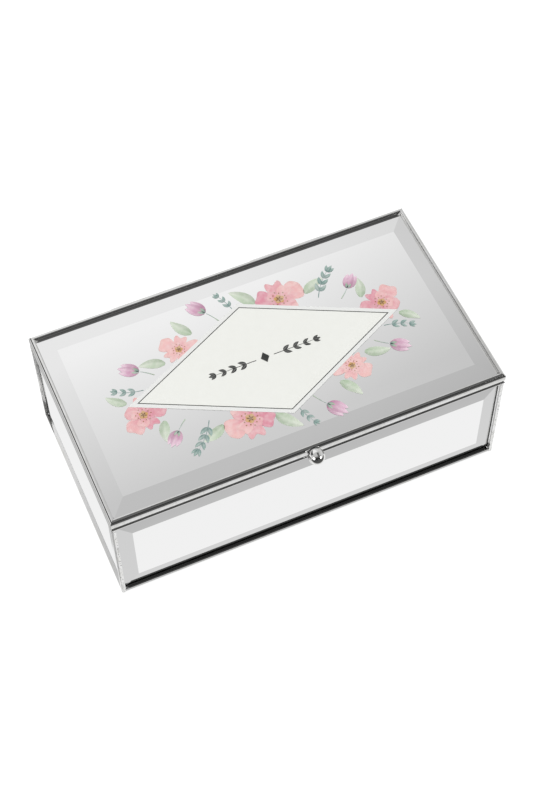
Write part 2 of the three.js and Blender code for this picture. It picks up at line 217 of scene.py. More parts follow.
# Softboxes: name, direction from the box, distance, width, radiance, and if mirrors see it.
SOFTBOXES = (
    ("overhead", (0, 0.15, 1), 1.6, 1.6, 2.12, False),
    ("softbox_right", (0.56, -0.75, 0.35), 1.2, 0.37, 3.0, True),
    ("softbox_left", (-0.794, -0.496, 0.350), 1.2, 0.58, 3.0, True),
)


def plane(name, height):
    mesh = bpy.data.meshes.new(name)
    signs = ((-1, -1), (1, -1), (1, 1), (-1, 1))
    corners = [(x * FLOOR_REACH, y * FLOOR_REACH, height) for x, y in signs]
    mesh.from_pydata(corners, [], [(0, 1, 2, 3)])
    made = bpy.data.objects.new(name, mesh)
    bpy.context.scene.collection.objects.link(made)
    material = bpy.data.materials.new(name)
    mesh.materials.append(material)
    return made, Graph(material)


def make_floor():
    """White paper, and a glowing sheet with painted shade that stands for the paper in mirrors."""
    floor, g = plane("floor", 0)
    floor.visible_glossy = False
    glow = g.node("ShaderNodeEmission", {"Color": grey(1), "Strength": FLOOR_GLOW})
    matt = g.node("ShaderNodeBsdfDiffuse", {"Color": grey(FLOOR_ALBEDO)})
    both = g.node("ShaderNodeAddShader", {0: glow.outputs[0], 1: matt.outputs[0]})
    g.node("ShaderNodeOutputMaterial", {"Surface": both.outputs[0]})

    sheet, g = plane("painted_floor_reflection", -SHEET_DROP)
    sheet.visible_camera = False
    sheet.visible_diffuse = False
    sheet.visible_shadow = False
    x, y, _ = g.split(g.place())
    left_edge = low("bottom_rail_left").x
    front_edge = low("bottom_rail_front").y
    ahead = g.math("DIVIDE", g.math("SUBTRACT", front_edge, y), MM)
    beside = g.math("DIVIDE", g.math("SUBTRACT", left_edge, x), MM)
    # Painted shade: how brightly the sheet glows is set by its distance ahead of the box and beside
    # its left wall.
    light = g.math("MULTIPLY", g.tones(ahead, MIRRORED_SHADE_FRONT), g.tones(beside, MIRRORED_SHADE_LEFT))
    shown = g.node("ShaderNodeEmission", {"Color": grey(1), "Strength": light})
    g.node("ShaderNodeOutputMaterial", {"Surface": shown.outputs[0]})


def make_world():
    """A pale tent with dark gaps, and cloths hung in some of them."""
    world = bpy.data.worlds.new("studio")
    bpy.context.scene.world = world
    g = Graph(world)
    x, y, z = g.split(g.node("ShaderNodeTexCoord").outputs["Generated"])
    height = g.math("MAXIMUM", z, LEAST_RISE)
    twisted = g.math("SUBTRACT", y, g.math("MULTIPLY", x, TENT_TWIST))
    backward = g.math("DEGREES", g.math("ARCTAN2", twisted, height))
    rightward = g.math("DEGREES", g.math("ARCTAN2", x, height))
    tent = g.math("MULTIPLY", g.tones(backward, TENT_BACKWARD), g.tones(rightward, TENT_RIGHTWARD))
    round_from_front = g.math("DEGREES", g.math("ARCTAN2", x, g.math("MULTIPLY", y, -1)))
    sides = g.math("MULTIPLY", g.tones(round_from_front, CLOTH_ROUND),
                   g.ramp(z, *CLOTH_TOP, 1.0, 0.0))
    overhead = g.math("MULTIPLY", g.tones(backward, CLOTH_OVERHEAD), g.tones(rightward, CLOTH_HUNG))
    light = g.math("MAXIMUM", tent, g.math("MAXIMUM", sides, overhead))
    back = g.node("ShaderNodeBackground", {"Color": grey(1), "Strength": light})
    g.node("ShaderNodeOutputWorld", {"Surface": back.outputs[0]})


def area_light(name, direction, distance, width, radiance, in_mirrors):
    """A square softbox that faces the box from the given direction."""
    data = bpy.data.lights.new(name, "AREA")
    data.shape = "SQUARE"
    data.size = width
    data.energy = math.pi * width * width * radiance
    light = bpy.data.objects.new(name, data)
    bpy.context.scene.collection.objects.link(light)
    toward = Vector(direction).normalized()
    light.location = toward * distance
    light.rotation_mode = "QUATERNION"
    light.rotation_quaternion = toward.to_track_quat("Z", "Y")
    light.visible_camera = False
    light.visible_glossy = in_mirrors


def make_studio():
    bpy.context.scene.view_settings.view_transform = "Standard"
    make_floor()
    make_world()
    for softbox in SOFTBOXES:
        area_light(*softbox)


# ---- Materials ----

def new_graph(name):
    material = bpy.data.materials.new(name)
    return material, Graph(material)


SILVERING = 0.868
FLAT_FACING = (0.9975, 0.9995)  # the largest part of a normal: bevels under, flats over
UPPER_SLOPE = (0.03, 0.06)  # the upward part of a normal is over this on a wall's upper bevel
TOP_SLOPE = (0.5, 0.6)  # and under this, as faces that look up are over it


def silvered_glass(name, bevel_painted_shade, upper_painted_shade):
    """A mirror. Its bevels get painted shade that makes them darker than its flat, and upper ones
    have a painted shade of their own tone.
    """
    material, g = new_graph(name)
    nx, ny, nz = g.split(g.node("ShaderNodeTexCoord").outputs["Normal"])
    steepest = g.math("MAXIMUM", g.math("ABSOLUTE", nx), g.math("ABSOLUTE", ny))
    steepest = g.math("MAXIMUM", steepest, g.math("ABSOLUTE", nz))
    bevel = g.ramp(steepest, *FLAT_FACING, 1.0, 0.0)
    upper = g.math("MULTIPLY", bevel, g.ramp(nz, *UPPER_SLOPE))
    upper = g.math("MULTIPLY", upper, g.ramp(nz, *TOP_SLOPE, 1.0, 0.0))
    # Painted shade: the silvering's tone is lowered on bevels, and set apart on upper bevels, by
    # the direction of the normal.
    silver = g.mix(bevel, grey(SILVERING), grey(bevel_painted_shade))
    silver = g.mix(upper, silver, grey(upper_painted_shade))
    haze = g.noise(900, detail=4)
    rough = g.ramp(haze, 0.35, 0.8, 0.012, 0.035)
    waves = g.bump(g.noise(14, detail=1), distance=0.04 * MM, strength=0.4)
    g.principled({
        "Base Color": silver, "Metallic": 1.0, "Roughness": rough, "Normal": waves,
        "Coat Weight": 0.25, "Coat Roughness": 0.02, "Coat IOR": 1.5,
    })
    return material


# Painted shade in crevices: where ambient occlusion finds the metal enclosed, its colour is
# darkened towards a crevice shade tone.
CREVICE = 1.8 * MM
CREVICE_RAYS = 8
CREVICE_DEPTH = (0.2, 0.65)  # the open share of the view: all painted crevice shade below, none above
CREVICE_SHADE = 0.05
DULL = (0.93, 0.925, 0.90)  # shares of the plate's tone that dull patches, smears and nicks return
SMEARED = (0.62, 0.62, 0.60)
NICKED = (0.30, 0.30, 0.29)
SMEAR_ROUGHNESS = 0.25


def shaded(tone, shares):
    return (*(tone * share for share in shares), 1)


def plated_metal(name, tone, rough, scratch, tarnish=0.0, crevice_shade=CREVICE_SHADE):
    """Silver plate over a folded channel: grain, dull patches, smears, nicks, and painted shade
    that darkens its crevices.
    """
    material, g = new_graph(name)
    patches = g.noise(160, detail=3)
    smears = g.ramp(g.noise(420, detail=5, stretch=(1.0, 1.0, 0.35)), 0.52, 0.70, 0.0, tarnish)
    colour = g.mix(g.ramp(patches, 0.3, 0.75), grey(tone), shaded(tone, DULL))
    colour = g.mix(smears, colour, shaded(tone, SMEARED))
    nicks = g.ramp(g.noise(1500, detail=4, stretch=(1.0, 1.0, 0.5)), 0.56, 0.64, 0.0, tarnish)
    colour = g.mix(nicks, colour, shaded(tone, NICKED))
    # Painted shade: enclosed places are darkened towards the crevice shade tone.
    openness = g.node("ShaderNodeAmbientOcclusion", {"Distance": CREVICE}, samples=CREVICE_RAYS)
    colour = g.mix(g.ramp(openness.outputs["AO"], *CREVICE_DEPTH), grey(crevice_shade), colour)
    roughness = g.ramp(patches, 0.3, 0.75, *rough)
    roughness = g.math("ADD", roughness, g.math("MULTIPLY", smears, SMEAR_ROUGHNESS))
    grain = g.bump(g.noise(9000, detail=3), scratch)
    g.principled({
        "Base Color": colour, "Metallic": 1.0, "Roughness": roughness, "Normal": grain,
    })
    return material


LABEL_CREAM = ((0.755, 0.76, 0.72, 1), (0.785, 0.79, 0.755, 1))
LABEL_MARGIN = (0.735, 0.74, 0.725, 1)
LABEL_EDGE = (1.0, 1.004)  # the field ends at its border line


def printed_film():
    """The label: a cream field inside a white margin, with the faint tooth of the film."""
    material, g = new_graph("label_film")
    x, y, _ = g.split(g.place())
    out = g.math("ADD", g.math("DIVIDE", g.math("ABSOLUTE", x), BORDER_LENGTH),
                 g.math("DIVIDE", g.math("ABSOLUTE", y), BORDER_WIDTH))
    field = g.ramp(out, *LABEL_EDGE)
    cream = g.mix(g.noise(260, detail=5), *LABEL_CREAM)
    colour = g.mix(field, cream, LABEL_MARGIN)
    g.principled({
        "Base Color": colour, "Roughness": g.ramp(g.noise(1200, detail=3), 0.3, 0.7, 0.45, 0.6),
        "Normal": g.bump(g.noise(5200, detail=3), distance=0.01 * MM, strength=0.5),
        "Specular IOR Level": 0.35,
    })
    return material


THIN_INK = (0.80, 0.77, 0.75, 1)
WASH = 0.30
POOLING = 0.35


def printing_ink():
    """Watercolour print: the pigment of each mark, thinned and pooled in soft patches."""
    material, g = new_graph("printing_ink")
    mark = g.node("ShaderNodeAttribute", attribute_name="pigment").outputs
    pigment = mark["Color"]
    wash = g.math("MULTIPLY", g.ramp(g.noise(420, detail=5), 0.3, 0.75, 0.0, WASH), mark["Alpha"])
    thinned = g.mix(wash, pigment, THIN_INK)
    pooled = g.mix(g.ramp(g.noise(900, detail=4), 0.55, 0.8, 0.0, POOLING), thinned, pigment)
    g.principled({
        "Base Color": pooled, "Roughness": g.ramp(g.noise(1500, detail=2), 0.3, 0.7, 0.42, 0.6),
        "Normal": g.bump(g.noise(5200, detail=3), distance=0.01 * MM, strength=0.5),
        "Specular IOR Level": 0.3,
    })
    return material


BOARD_PULP = ((0.19, 0.17, 0.145, 1), (0.27, 0.25, 0.215, 1))
BOARD_FLECK = (0.13, 0.12, 0.105, 1)


def grey_board():
    """Pulp board with darker flecks."""
    material, g = new_graph("grey_board")
    pulp = g.noise(700, detail=6)
    flecks = g.ramp(g.noise(2600, detail=3), 0.62, 0.7)
    colour = g.mix(pulp, *BOARD_PULP)
    colour = g.mix(flecks, colour, BOARD_FLECK)
    g.principled({
        "Base Color": colour, "Roughness": g.ramp(pulp, 0.3, 0.7, 0.85, 0.95),
        "Normal": g.bump(pulp, distance=0.08 * MM, strength=0.6),
    })
    return material


VELVET_PILE = ((0.010, 0.010, 0.012, 1), (0.026, 0.026, 0.030, 1))
VELVET_SHADOW = (0.004, 0.004, 0.005, 1)
VELVET_SHEEN = (0.62, 0.63, 0.68, 1)


def velvet():
    """Short black velvet: the pile lies in soft brushed areas and lifts at grazing angles."""
    material, g = new_graph("velvet")
    brushed = g.ramp(g.noise(38, detail=3), 0.38, 0.62)
    pile = g.noise(5200, detail=4)
    colour = g.mix(brushed, *VELVET_PILE)
    colour = g.mix(g.ramp(pile, 0.4, 0.65, 0.0, 0.6), colour, VELVET_SHADOW)
    nap = g.bump(pile, distance=0.22 * MM, strength=0.7)
    g.principled({
        "Base Color": colour, "Roughness": g.ramp(brushed, 0.0, 1.0, 0.86, 0.97),
        "Normal": g.bump(g.noise(240, detail=2), distance=0.2 * MM, strength=0.4, under=nap),
        "Specular IOR Level": 0.2,
        "Sheen Weight": 0.55, "Sheen Roughness": 0.38, "Sheen Tint": VELVET_SHEEN,
    })
    return material


FELT_FIBRE = ((0.012, 0.012, 0.013, 1), (0.045, 0.045, 0.048, 1))
FELT_TANGLE = (0.07, 0.07, 0.073, 1)
FELT_SHEEN = (0.5, 0.5, 0.52, 1)


def felt():
    """Pressed black felt: crossing fibres in paler tangles."""
    material, g = new_graph("felt")
    fibre = g.noise(2600, detail=6, stretch=(1.0, 3.2, 1.0))
    tangle = g.noise(600, detail=5, stretch=(2.6, 1.0, 1.0))
    colour = g.mix(fibre, *FELT_FIBRE)
    colour = g.mix(g.ramp(tangle, 0.55, 0.75, 0.0, 0.5), colour, FELT_TANGLE)
    g.principled({
        "Base Color": colour, "Roughness": g.ramp(tangle, 0.3, 0.7, 0.92, 1.0),
        "Normal": g.bump(fibre, distance=0.25 * MM, strength=0.8), "Specular IOR Level": 0.15,
        "Sheen Weight": 0.3, "Sheen Roughness": 0.6, "Sheen Tint": FELT_SHEEN,
    })
    return material


# ---- Places taken from the frame, and the materials ----

GLASS_TOP = high("lid_mirror").z
LABEL_TOP = high("diamond_label").z
LABEL_LENGTH = high("diamond_label").x
LABEL_WIDTH = high("diamond_label").y
BORDER_INSET = 4.5 * MM
BORDER_LENGTH = LABEL_LENGTH - BORDER_INSET
BORDER_WIDTH = BORDER_LENGTH * LABEL_WIDTH / LABEL_LENGTH
KNOB = (low("knob_ball") + high("knob_ball")) / 2

# The three mirrors differ only in the painted shade of their bevels.
MIRROR_WALL = silvered_glass("silvered_glass_wall_painted_shade", bevel_painted_shade=0.60, upper_painted_shade=0.79)
MIRROR_SIDE = silvered_glass("silvered_glass_side_painted_shade", bevel_painted_shade=0.86, upper_painted_shade=0.79)
MIRROR_LID = silvered_glass("silvered_glass_lid_painted_shade", bevel_painted_shade=0.80, upper_painted_shade=0.80)
METAL = plated_metal(
    "plated_frame", tone=0.76, rough=(0.04, 0.10), scratch=0.003 * MM, tarnish=0.15)
# Copies of the frame's plate for the bottom channels: painted shade darkens the long sides' copy,
# and painted light brightens the short sides' copy, which also gets little crevice shade.
PAINTED_DARK_CHANNEL = plated_metal(
    "plated_front_channel_painted_shade", tone=0.50, rough=(0.05, 0.12), scratch=0.003 * MM, tarnish=0.15,
    crevice_shade=0.09)
PAINTED_PALE_CHANNEL = plated_metal(
    "plated_side_channel_painted_light", tone=0.86, rough=(0.04, 0.10), scratch=0.003 * MM, tarnish=0.15,
    crevice_shade=0.80)
POST_METAL = plated_metal(
    "plated_post", tone=0.80, rough=(0.05, 0.12), scratch=0.004 * MM, tarnish=0.7)
CHROME = plated_metal("chrome_knob", tone=0.84, rough=(0.02, 0.05), scratch=0.0005 * MM)
HINGE_METAL = plated_metal("plated_hinge", tone=0.74, rough=(0.16, 0.30), scratch=0.008 * MM)
SOLDER = plated_metal("solder", tone=0.62, rough=(0.22, 0.40), scratch=0.03 * MM)
LABEL = printed_film()
INK = printing_ink()
BOARD = grey_board()
VELVET = velvet()
FELT = felt()


# ---- CAD nodes ----

WELD_DISTANCE = 0.005 * MM
EDGE_SEGMENTS = 3
SHARP_ANGLE = math.radians(30)
POST_ROUNDING = 0.1 * MM
HINGE_ROUNDING = 0.06 * MM
STUD_ROUNDING = 0.05 * MM


def finish_node(node, material):
    NODES[node].data.materials.clear()
    NODES[node].data.materials.append(material)


def soften(part, width):
    """Rounds a metal part's sharp edges and shades its folded bends smoothly."""
    part.data.polygons.foreach_set("use_smooth", [True] * len(part.data.polygons))
    weld = part.modifiers.new("weld", "WELD")
    weld.merge_threshold = WELD_DISTANCE
    bevel = part.modifiers.new("edges", "BEVEL")
    bevel.width = width
    bevel.segments = EDGE_SEGMENTS
    bevel.limit_method = "ANGLE"
    bevel.angle_limit = SHARP_ANGLE
    bevel.use_clamp_overlap = True
    part.modifiers.new("normals", "WEIGHTED_NORMAL").keep_sharp = False


def finish_cad():
    for side in SIDES:
        finish_node(f"mirror_{side}", MIRROR_WALL if side in LONG_SIDES else MIRROR_SIDE)
    for corner in ("front_left", "front_right", "back_right", "back_left"):
        finish_node(f"corner_post_{corner}", POST_METAL)
        soften(NODES[f"corner_post_{corner}"], POST_ROUNDING)
    for hand in ("left", "right"):
        for part in ("hinge_base_leaf", "hinge_lid_leaf", "hinge_pin"):
            finish_node(f"{part}_{hand}", HINGE_METAL)
            soften(NODES[f"{part}_{hand}"], HINGE_ROUNDING)
    finish_node("lid_mirror", MIRROR_LID)
    finish_node("diamond_label", LABEL)
    finish_node("base_board", BOARD)
    finish_node("lid_board", BOARD)
    finish_node("knob_stud", CHROME)
    soften(NODES["knob_stud"], STUD_ROUNDING)


# ---- Mesh helpers ----

RIM_ANGLES = tuple(math.radians(angle) for angle in (0, 15, 30, 45, 60, 75, 90))
RIPPLE_SCALE = 45
CROWN_POWER = 4
PAD_STEP = 6 * MM


def add_piece(name, mesh, material, body, smooth=True):
    mesh.materials.append(material)
    mesh.polygons.foreach_set("use_smooth", [smooth] * len(mesh.polygons))
    made = bpy.data.objects.new(name, mesh)
    bpy.context.scene.collection.objects.link(made)
    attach(made, body)
    return made


def lathe(name, profile, axis_place, turn, segments):
    """Turns a profile of (radius, along) round local Z, then turns it by a matrix into place."""
    bm = bmesh.new()
    rings = []
    for radius, along in profile:
        if radius == 0:
            rings.append([bm.verts.new((0, 0, along))])
            continue
        steps = [2 * math.pi * step / segments for step in range(segments)]
        ring = [(radius * math.cos(a), radius * math.sin(a), along) for a in steps]
        rings.append([bm.verts.new(place) for place in ring])
    for first, second in zip(rings, rings[1:]):
        for step in range(segments):
            following = (step + 1) % segments
            corners = [first[step % len(first)], first[following % len(first)],
                       second[following % len(second)], second[step % len(second)]]
            bm.faces.new(list(dict.fromkeys(corners)))
    bmesh.ops.recalc_face_normals(bm, faces=bm.faces)
    mesh = bpy.data.meshes.new(name)
    bm.to_mesh(mesh)
    bm.free()
    mesh.transform(Matrix.Translation(axis_place) @ turn.to_4x4())
    return mesh


def edge_stops(length, radius, step):
    """Places across a padded sheet: close together on its rounded edges, even between."""
    turns = [radius * (1 - math.cos(angle)) for angle in RIM_ANGLES]
    count = max(2, round((length - 2 * radius) / step))
    inner = [radius + (length - 2 * radius) * n / count for n in range(1, count)]
    return turns + inner + [length - turn for turn in reversed(turns)]


def padded_sheet(name, size, radius, crown, ripple):
    """A closed slab of fabric over board, with a rounded rim and a slightly crowned face up."""
    length, width, thickness = size
    xs = edge_stops(length, radius, PAD_STEP)
    ys = edge_stops(width, radius, PAD_STEP)
    bm = bmesh.new()

    def height(x, y):
        rim = min(x, length - x, y, width - y)
        inset = 1 - min(rim / radius, 1)
        curve = math.sqrt(max(0, 1 - inset * inset))
        fall = abs(2 * x / length - 1) ** CROWN_POWER + abs(2 * y / width - 1) ** CROWN_POWER
        dome = 1 - crown * fall / 2
        wave = -ripple * abs(noise.noise(Vector((x, y, thickness)) * RIPPLE_SCALE))
        return (thickness - radius) * dome + radius * curve * dome + wave * curve

    grid = [[bm.verts.new((x - length / 2, y - width / 2, height(x, y))) for y in ys] for x in xs]
    for column, following in zip(grid, grid[1:]):
        for row in range(len(ys) - 1):
            bm.faces.new((column[row], following[row], following[row + 1], column[row + 1]))
    rim = [column[0] for column in grid] + grid[-1][1:]
    rim += [column[-1] for column in reversed(grid[:-1])] + grid[0][-2:0:-1]
    foot = [bm.verts.new((vertex.co.x, vertex.co.y, 0)) for vertex in rim]
    for n in range(len(rim)):
        after = (n + 1) % len(rim)
        bm.faces.new((rim[after], rim[n], foot[n], foot[after]))
    bm.faces.new(list(reversed(foot)))
    bmesh.ops.recalc_face_normals(bm, faces=bm.faces)
    mesh = bpy.data.meshes.new(name)
    bm.to_mesh(mesh)
    bm.free()
    return mesh


# ---- Rails ----

SHEET_METAL = 0.7 * MM
FOLD = 0.9 * MM
CROWN_OUTER = 1.7 * MM
CROWN_INNER = 0.8 * MM
LIP_REACH = 1.85 * MM  # from the crown's top down to the glass
GLUE = 0.05 * MM
POST_FLANGE = 2.0 * MM
ARC_STEPS = 14
RAIL_STEP = 8 * MM
EDGE_ROUNDING = 0.1 * MM

HALF_WIDTH = -low("lid_rail_left").x
HALF_DEPTH = -low("lid_rail_front").y
SIDE_PLACES = {
    "front": (HALF_WIDTH, HALF_DEPTH, 0),
    "right": (HALF_DEPTH, HALF_WIDTH, math.pi / 2),
    "back": (HALF_WIDTH, HALF_DEPTH, math.pi),
    "left": (HALF_DEPTH, HALF_WIDTH, -math.pi / 2),
}


def arc(inward, height, radius, start, end):
    """Points of a fold's profile round (inward, height), by degrees."""
    degrees = [start + (end - start) * step / ARC_STEPS for step in range(ARC_STEPS + 1)]
    angles = [math.radians(turn) for turn in degrees]
    return [(inward + radius * math.cos(a), height + radius * math.sin(a)) for a in angles]


def reach(node, side):
    """How far a side's rail runs inward from its outer face."""
    axis = 1 if side in LONG_SIDES else 0
    return high(node)[axis] - low(node)[axis]


# Each outline gives a rail's folded profile, the height it is drawn at, and how far inward its ends
# are cut square before the mitre starts.

def bottom_profile(side):
    node = f"bottom_rail_{side}"
    face = high(node).z - low(node).z
    ledge = reach(node, side)
    turn = POST_FLANGE + GLUE
    folded = [(turn, 0), (ledge, 0), (ledge, SHEET_METAL), (turn, SHEET_METAL),
              (SHEET_METAL, SHEET_METAL), (SHEET_METAL, face), (0, face)]
    return folded + arc(FOLD, FOLD, FOLD, 180, 270), low(node).z, turn


def top_profile(side):
    node = f"top_rail_{side}"
    face = high(node).z - low(node).z
    ledge = reach(node, side)
    folded = [(0, -face), (SHEET_METAL, -face), (SHEET_METAL, -SHEET_METAL),
              (ledge, -SHEET_METAL), (ledge, 0)]
    return folded + arc(FOLD, -FOLD, FOLD, 90, 180), high(node).z, 0


def lid_profile(side):
    node = f"lid_rail_{side}"
    bottom = low(node).z - high(node).z
    flange = reach(node, side)
    lip = CROWN_OUTER + CROWN_INNER
    outer = [(lip, -LIP_REACH)] + arc(CROWN_OUTER, -CROWN_INNER, CROWN_INNER, 0, 90)
    outer += arc(CROWN_OUTER, -CROWN_OUTER, CROWN_OUTER, 90, 180)[1:]
    outer += arc(FOLD, bottom + FOLD, FOLD, 180, 270)
    inner = [(flange, bottom), (flange, bottom + SHEET_METAL), (SHEET_METAL, bottom + SHEET_METAL)]
    inner += arc(CROWN_OUTER, -CROWN_OUTER, CROWN_OUTER - SHEET_METAL, 180, 90)
    inner += [(lip - SHEET_METAL, -SHEET_METAL), (lip - SHEET_METAL, -LIP_REACH)]
    return outer + inner, high(node).z, 0


def swept_rail(name, side, profile, height, square_end):
    """Sweeps a profile along a side. Its ends are mitred, and cut square where a post stands."""
    half, outer, turn = SIDE_PLACES[side]
    count = round(2 * half / RAIL_STEP)
    bm = bmesh.new()
    rings = []
    for station in range(count + 1):
        share = 2 * station / count - 1
        ring = []
        for inward, rise in profile:
            run = half - max(inward, square_end) - GLUE
            ring.append(bm.verts.new((share * run, inward - outer, rise + height)))
        rings.append(ring)
    for first, second in zip(rings, rings[1:]):
        for n in range(len(profile)):
            after = (n + 1) % len(profile)
            bm.faces.new((first[n], first[after], second[after], second[n]))
    caps = [bm.faces.new(rings[0]), bm.faces.new(rings[-1])]
    bmesh.ops.triangulate(bm, faces=caps)
    bmesh.ops.recalc_face_normals(bm, faces=bm.faces)
    mesh = bpy.data.meshes.new(name)
    bm.to_mesh(mesh)
    bm.free()
    mesh.transform(Matrix.Rotation(turn, 4, "Z"))
    return mesh


def make_rails():
    kinds = {"bottom_rail": (bottom_profile, "base"), "top_rail": (top_profile, "base"),
             "lid_rail": (lid_profile, "lid")}
    for kind, (outline, body) in kinds.items():
        for side in SIDES:
            name = f"folded_{kind}_{side}"
            metal = METAL
            # Bottom rails take the channel copies with painted shade on the long sides and painted
            # light on the short ones.
            if kind == "bottom_rail":
                metal = PAINTED_DARK_CHANNEL if side in LONG_SIDES else PAINTED_PALE_CHANNEL
            rail = add_piece(name, swept_rail(name, side, *outline(side)), metal, body)
            soften(rail, EDGE_ROUNDING)
            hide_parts(f"{kind}_{side}")


# ---- Velvet and felt ----

def fit_sheet(name, node, show, radius, crown, ripple, material, body):
    """A padded sheet in the space of a plain CAD solid, its face towards the show direction."""
    lowest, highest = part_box(node)
    middle = (lowest + highest) / 2
    facing = Vector(show)
    extent = highest - lowest
    thin = max(range(3), key=lambda axis: abs(facing[axis]))
    along = max((axis for axis in range(3) if axis != thin), key=lambda axis: extent[axis])
    run = Vector([1.0 if axis == along else 0.0 for axis in range(3)])
    across = facing.cross(run)
    width = sum(abs(across[axis]) * extent[axis] for axis in range(3))
    size = (extent[along], width, extent[thin])
    mesh = padded_sheet(name, size, radius, crown, ripple)
    foot = middle - facing * size[2] / 2
    axes = Matrix((run, across, facing)).transposed()
    mesh.transform(Matrix.Translation(foot) @ axes.to_4x4())
    made = add_piece(name, mesh, material, body)
    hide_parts(node)
    return made


def make_lining():
    pad = fit_sheet(
        "velvet_base_pad", "base_pad", (0, 0, 1), radius=0.9 * MM, crown=0.12, ripple=0.12 * MM,
        material=VELVET, body="base")
    liner = fit_sheet(
        "velvet_lid_liner", "lid_liner", (0, 0, -1), radius=0.4 * MM, crown=0.1, ripple=0.05 * MM,
        material=VELVET, body="lid")
    inward = {"front": (0, 1, 0), "right": (-1, 0, 0), "back": (0, -1, 0), "left": (1, 0, 0)}
    for side, show in inward.items():
        wall = fit_sheet(
            f"velvet_wall_{side}", f"wall_liner_{side}", show, radius=0.6 * MM, crown=0.06,
            ripple=0.06 * MM, material=VELVET, body="base")
    sheet = fit_sheet(
        "felt_base", "base_felt", (0, 0, -1), radius=0.3 * MM, crown=0.0, ripple=0.03 * MM,
        material=FELT, body="base")


# ---- Knob ----

KNOB_RINGS = 40
KNOB_SEGMENTS = 64
BEAD_FLARE = 0.28 * MM
BEAD_STEPS = 6
BEAD_SEGMENTS = 48


def make_knob():
    """A smooth ball in place of the faceted one, and the bead of solder that seats it."""
    radius = (high("knob_ball").x - low("knob_ball").x) / 2
    seat = high("knob_ball").y
    centre = Vector((KNOB.x, low("knob_ball").y + radius, KNOB.z))
    seat_along = centre.y - seat
    first = math.acos(seat_along / radius)
    angles = [first * ring / KNOB_RINGS for ring in range(KNOB_RINGS + 1)]
    profile = [(radius * math.sin(angle), radius * math.cos(angle)) for angle in angles]
    profile[0] = (0, radius)
    profile.append((0, seat_along))
    outward = Matrix.Rotation(math.pi / 2, 3, "X")
    mesh = lathe("knob", profile, centre, outward, KNOB_SEGMENTS)
    ball = add_piece("knob", mesh, CHROME, "lid")
    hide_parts("knob_ball")
    seat_radius = radius * math.sin(first)
    angles = [math.pi / 2 * step / BEAD_STEPS for step in range(BEAD_STEPS + 1)]
    flare = [(seat_radius + BEAD_FLARE * (1 - math.sin(a)), BEAD_FLARE * (1 - math.cos(a)))
             for a in angles]
    profile = [(0, 0)] + flare + [(0, flare[-1][1])]
    bead = lathe("knob_solder", profile, Vector((centre.x, seat, centre.z)), outward, BEAD_SEGMENTS)
    add_piece("knob_solder", bead, SOLDER, "lid")


# ---- Print on the lid ----

FILM = 0.008 * MM
LAYER = 0.01 * MM
LEAF_RISE = 0.01 * MM
BLOSSOM_RISE = 0.02 * MM
BUD_RISE = 0.06 * MM
BORDER_LINE = 0.45 * MM


def ink_tone(red, green, blue, wash=1.0):
    """A pigment given in the 0 to 255 values of a colour chart, and how far it thins out."""
    linear = [((value / 255 + 0.055) / 1.055) ** 2.4 for value in (red, green, blue)]
    return Vector((*linear, wash))


CORAL = ink_tone(214, 146, 162)
CORAL_DEEP = ink_tone(198, 116, 132)
PEACH = ink_tone(230, 186, 182)
GOLD = ink_tone(206, 160, 96)
GOLD_DEEP = ink_tone(150, 104, 58)
MAUVE = ink_tone(166, 96, 136)
MAUVE_PALE = ink_tone(228, 196, 214)
SAGE = ink_tone(160, 180, 152)
SAGE_PALE = ink_tone(204, 214, 196)
BLUE_GREEN = ink_tone(92, 126, 122)
BLUE_GREEN_PALE = ink_tone(146, 172, 164)
CHARCOAL = ink_tone(44, 46, 45, 0.1)

BLADE_STEPS = 14
BLADE_ACROSS = (-1.0, -0.5, 0.0, 0.5, 1.0)
LEAF_ROOT = 0.02  # share of the length over which a leaf's root stays blunt
LEAF_LEAN = 0.75  # under 1: a leaf is widest on the root's side of its middle
LEAF_FULLNESS = 0.8  # under 1: fuller than a half wave
LEAF_TIP = 0.02
STEM_TAPER = 0.65
SHADED_HALF = 0.86
VEIN = 0.12
VEIN_TONE = (0.9, 0.9, 0.86, 1)

PETAL_RINGS = 7
PETAL_STEPS = 18
PETAL_SPAN = 0.985  # share of the half wave across a petal, so that its sides stay open
PETAL_FULLNESS = 0.35
PETAL_ROOT = 0.06
NOTCH_NARROWNESS = 3.2
RUFFLES = 7
STREAKS = (7, 0.05, 1.5)  # how fast streaks change across petals, with heading and outward
BLUSH_FADE = 0.8
BLUSH = (0.75, 0.4)  # the far tone's share where no streak is, and what a streak adds
PETAL_RIM = 0.90

DOT_STEPS = 10
DOT_HOLE = 0.02  # share of the radius left open, so that the quads don't meet in a point


